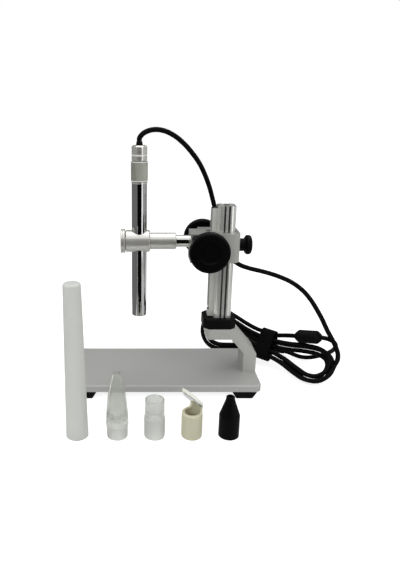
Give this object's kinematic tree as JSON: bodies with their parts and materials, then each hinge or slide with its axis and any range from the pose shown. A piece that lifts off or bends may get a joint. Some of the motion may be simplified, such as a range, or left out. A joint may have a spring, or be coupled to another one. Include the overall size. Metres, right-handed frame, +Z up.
{
  "type": "usb digital microscope",
  "caption": "Pen-shaped digital microscope in a cross clamp on a rack-and-pinion column stand, with a tied cable and a row of slip-on tips.",
  "frame": {"origin": "on the table, under the middle of the outline of the stand and the tips", "axes": "+Z up along the column, +X to the column's side of the base, +Y from the row of tips to the back"},
  "size_m": [0.229, 0.1752, 0.2082],
  "materials": {
    "base_silver": "satin anodised",
    "foot_rubber": "matt",
    "screw_steel": "plain",
    "bracket_silver": "satin silver paint",
    "black_plastic": "satin",
    "column_aluminium": "bright satin",
    "rack_metal": "milled",
    "carriage_grey": "fine satin",
    "cover_plate": "satin",
    "liner_plastic": "waxy",
    "brass": "turned",
    "polished_rod": "polished",
    "set_screw_black": "blackened",
    "shaft_steel": "ground",
    "knob_black": "soft gloss",
    "turned_aluminium": "turned satin",
    "barrel_chrome": "mirror",
    "knurled_aluminium": "knurled",
    "inner_black": "matt",
    "optical_glass": "clear",
    "circuit_board": "lacquered",
    "led_lens": "clear dome",
    "sensor_chip": "glassy",
    "cable_black": "satin sheath",
    "strap_fabric": "woven hook and loop",
    "bead_black": "soft gloss",
    "plug_metal": "plated",
    "plug_white": "gloss",
    "cover_white": "translucent",
    "clear_acrylic": "clear, frosted skirt",
    "ivory_plastic": "satin",
    "mirror_face": "front mirror",
    "tip_black": "soft gloss"
  },
  "bodies": {
    "stand": {"base_plate": "base_silver", "rubber_feet": "foot_rubber", "foot_screws": "screw_steel", "bracket": "bracket_silver", "bracket_screws": "screw_steel", "column_collar": "black_plastic", "column": "column_aluminium", "column_bolt": "screw_steel", "gear_rack": "rack_metal", "free_cable": "cable_black", "cable_hank": "cable_black", "cable_tail": "cable_black", "cable_strap": "strap_fabric", "ferrite_bead": "bead_black", "plug_grip": "black_plastic", "plug_shell": "plug_metal", "plug_tongue": "plug_white"},
    "carriage": {"carriage_block": "carriage_grey", "pinion_cover": "cover_plate", "cover_screws": "screw_steel", "slide_liner": "liner_plastic", "shaft_bushes": "brass", "arm_rod": "polished_rod", "arm_set_screw": "set_screw_black", "lock_pad": "brass"},
    "focus_drive": {"focus_shaft": "shaft_steel", "pinion_gear": "brass", "front_knob": "knob_black", "rear_knob": "knob_black", "knob_set_screws": "set_screw_black"},
    "lock_screw": {"lock_knob": "knob_black", "lock_stud": "shaft_steel"},
    "arm_clamp": {"arm_sleeve": "turned_aluminium", "clamp_body": "turned_aluminium", "clamp_pad": "liner_plastic"},
    "clamp_screw": {"clamp_knob": "turned_aluminium", "clamp_stud": "shaft_steel"},
    "microscope": {"barrel_tube": "barrel_chrome", "nose_ring": "inner_black", "front_window": "optical_glass", "led_board": "circuit_board", "leds": "led_lens", "lens_holder": "inner_black", "objective_lenses": "optical_glass", "retaining_ring": "shaft_steel", "tail_plug": "turned_aluminium", "end_cap": "turned_aluminium", "cable_gland": "black_plastic"},
    "focus_wheel": {"focus_ring": "knurled_aluminium", "drive_pin": "shaft_steel", "focus_screw": "brass"},
    "sensor_slider": {"sensor_carriage": "inner_black", "sensor_board": "circuit_board", "image_sensor": "sensor_chip"},
    "long_cover_loose": {"long_cover": "cover_white"},
    "cone_tip_loose": {"cone_tip": "clear_acrylic"},
    "cup_tip_loose": {"cup_tip": "clear_acrylic"},
    "mirror_tip_loose": {"mirror_tip": "ivory_plastic", "mirror_glass": "mirror_face"},
    "black_tip_loose": {"black_tip": "tip_black"}
  },
  "joints": [
    {"name": "focus_slide", "type": "slide", "parent": "stand", "child": "carriage", "axis": [0, 0, 1], "range_m": [-0.03, 0.012], "deforming": ["free_cable"]},
    {"name": "focus_turn", "type": "hinge", "parent": "carriage", "child": "focus_drive", "pos_m": [0.03289, 0.02945, 0.118], "axis": [0, 1, 0], "range_deg": [-495, 200]},
    {"name": "lock_turn", "type": "hinge", "parent": "carriage", "child": "lock_screw", "pos_m": [0.065, 0.02945, 0.118], "axis": [1, 0, 0], "range_deg": [0, 360]},
    {"name": "arm_tilt", "type": "hinge", "parent": "carriage", "child": "arm_clamp", "pos_m": [0, 0.02945, 0.121], "axis": [1, 0, 0], "range_deg": [-60, 60], "deforming": ["free_cable"]},
    {"name": "clamp_turn", "type": "hinge", "parent": "arm_clamp", "child": "clamp_screw", "pos_m": [-0.033, 0.02945, 0.121], "axis": [-1, 0, 0], "range_deg": [0, 360]},
    {"name": "pen_slide", "type": "slide", "parent": "arm_clamp", "child": "microscope", "axis": [0, 0, 1], "range_m": [-0.015, 0.03], "deforming": ["free_cable"]},
    {"name": "ring_turn", "type": "hinge", "parent": "microscope", "child": "focus_wheel", "pos_m": [-0.02011, 0.02945, 0.1757], "axis": [0, 0, 1], "range_deg": [-135, 135]},
    {"name": "sensor_slide", "type": "slide", "parent": "microscope", "child": "sensor_slider", "axis": [0, 0, 1], "range_m": [-0.0025, 0.0025]},
    {"name": "long_cover_lift", "type": "slide", "parent": "stand", "child": "long_cover_loose", "axis": [0, 0, 1], "range_m": [0, 0.06]},
    {"name": "cone_tip_lift", "type": "slide", "parent": "stand", "child": "cone_tip_loose", "axis": [0, 0, 1], "range_m": [0, 0.06]},
    {"name": "cup_tip_lift", "type": "slide", "parent": "stand", "child": "cup_tip_loose", "axis": [0, 0, 1], "range_m": [0, 0.06]},
    {"name": "mirror_tip_lift", "type": "slide", "parent": "stand", "child": "mirror_tip_loose", "axis": [0, 0, 1], "range_m": [0, 0.06]},
    {"name": "black_tip_lift", "type": "slide", "parent": "stand", "child": "black_tip_loose", "axis": [0, 0, 1], "range_m": [0, 0.06]}
  ],
  "couplings": [
    {"joint": "focus_turn", "follows": "focus_slide", "rad_per_m": 285.71},
    {"joint": "sensor_slide", "follows": "ring_turn", "m_per_rad": 0.0010186}
  ]
}
